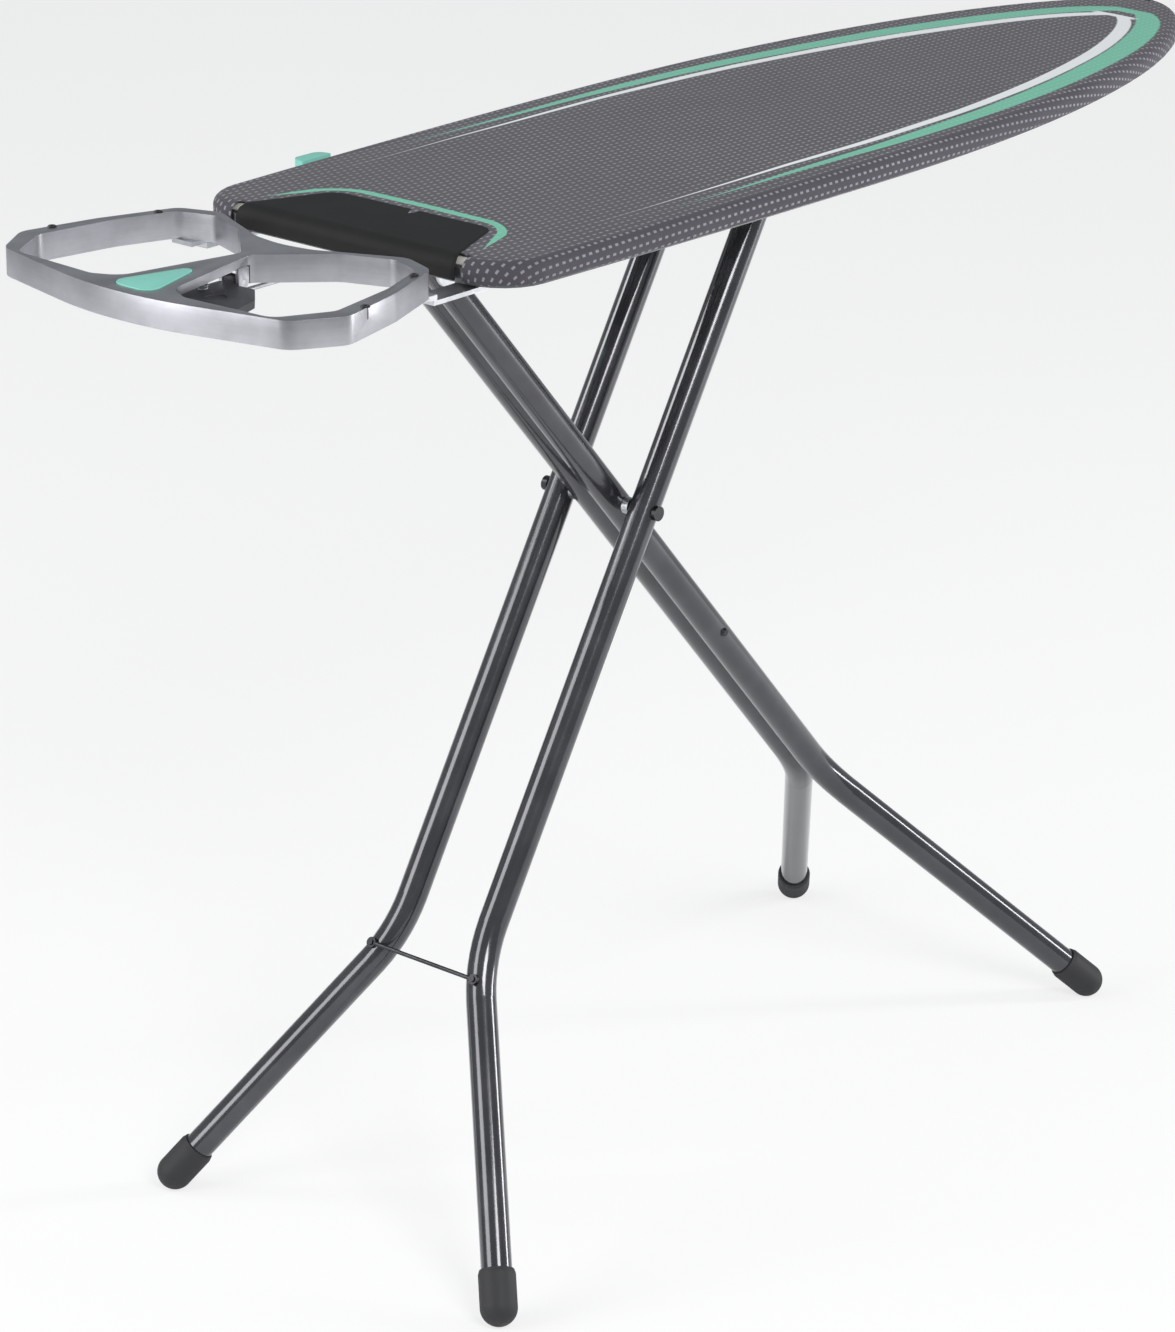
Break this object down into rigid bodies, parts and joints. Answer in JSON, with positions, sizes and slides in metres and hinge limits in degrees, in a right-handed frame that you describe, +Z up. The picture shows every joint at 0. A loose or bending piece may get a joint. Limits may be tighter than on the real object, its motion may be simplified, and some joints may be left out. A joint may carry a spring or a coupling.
{
  "type": "ironing board",
  "caption": "Folding ironing board with a padded covered top, a cast two-loop iron rest with a height trigger, and scissor legs with splayed rubber feet.",
  "frame": {"origin": "on the floor, under the middle of the whole object at its full height", "axes": "+X from the iron rest at the heel to the rounded nose, +Y to the side with the transport lock, +Z up"},
  "size_m": [1.486, 0.438, 0.9622],
  "materials": {
    "deck_steel": "satin grey enamel on perforated sheet",
    "leg_steel": "glossy gunmetal enamel on round tube",
    "zinc": "bright zinc plate",
    "dark_steel": "black passivated steel",
    "rest_alloy": "satin cast aluminium, brushed on its outer wall",
    "cover_cloth": "charcoal woven cotton printed with fine pale dashes and mint and white stripes",
    "foam": "felt and foam underlay",
    "patch_silicone": "matt black heat-proof silicone",
    "trigger_grip": "dark soft-touch plastic",
    "mint_plastic": "mint plastic with a soft gloss",
    "nylon": "black nylon",
    "foot_rubber": "matt black rubber"
  },
  "bodies": {
    "board": {"deck_panel": "deck_steel", "deck_rim": "deck_steel", "cross_ribs": "deck_steel", "slide_rails": "zinc", "rail_rivets": "zinc", "hinge_bracket": "zinc", "hinge_pin": "zinc", "bracket_rivets": "zinc", "latch_guides": "zinc", "rod_guides": "nylon", "underlay_pad": "foam", "cover": "cover_cloth", "heel_patch": "patch_silicone", "rest_frame": "rest_alloy", "rest_straps": "zinc", "strap_screws": "zinc", "rest_screws": "dark_steel", "trigger_pin": "zinc", "button_spring": "zinc", "trigger_spring": "zinc", "latch_spring": "zinc", "lock_post": "zinc", "lock_rivet": "zinc"},
    "inner_legs": {"inner_leg_near": "leg_steel", "inner_leg_far": "leg_steel", "tie_rivet": "dark_steel", "inner_foot_near": "foot_rubber", "inner_foot_far": "foot_rubber"},
    "outer_legs": {"outer_leg_near": "leg_steel", "outer_leg_far": "leg_steel", "pivot_bolt": "dark_steel", "pivot_nut": "dark_steel", "pivot_spacers": "zinc", "rod_saddles": "zinc", "slide_rod": "zinc", "rod_washers": "nylon", "spreader_wire": "dark_steel", "wire_rivets": "dark_steel", "outer_foot_near": "foot_rubber", "outer_foot_far": "foot_rubber"},
    "trigger": {"height_trigger": "trigger_grip"},
    "latch": {"pull_rod": "zinc", "latch_bar": "zinc"},
    "button": {"lock_button": "mint_plastic"},
    "lock": {"transport_lock": "mint_plastic"}
  },
  "joints": [
    {"name": "fold", "type": "hinge", "parent": "board", "child": "inner_legs", "pos_m": [-0.379, 0, 0.907], "axis": [0, -1, 0], "range_deg": [0, 48]},
    {"name": "scissor", "type": "hinge", "parent": "inner_legs", "child": "outer_legs", "pos_m": [-0.13337, 0, 0.63257], "axis": [0, -1, 0], "range_deg": [-107.04, 0]},
    {"name": "trigger_squeeze", "type": "hinge", "parent": "board", "child": "trigger", "pos_m": [-0.609, 0, 0.942], "axis": [0, 1, 0], "range_deg": [0, 7.4], "stiffness_Nm_per_rad": 0.6, "springref_deg": -5.73, "deforming": ["trigger_spring"]},
    {"name": "latch_pull", "type": "slide", "parent": "board", "child": "latch", "axis": [-1, 0, 0], "range_m": [0, 0.0018]},
    {"name": "button_press", "type": "slide", "parent": "board", "child": "button", "axis": [0, 0, -1], "range_m": [0, 0.0022], "stiffness_N_per_m": 600, "springref_m": -0.002, "deforming": ["button_spring"]},
    {"name": "lock_swing", "type": "hinge", "parent": "board", "child": "lock", "pos_m": [-0.302, 0.148, 0.9285], "axis": [0, 0, 1], "range_deg": [-12, 12]}
  ],
  "couplings": [
    {"joint": "scissor", "follows": "fold", "ratio": -2.2221},
    {"joint": "latch_pull", "follows": "trigger_squeeze", "m_per_rad": 0.012}
  ]
}
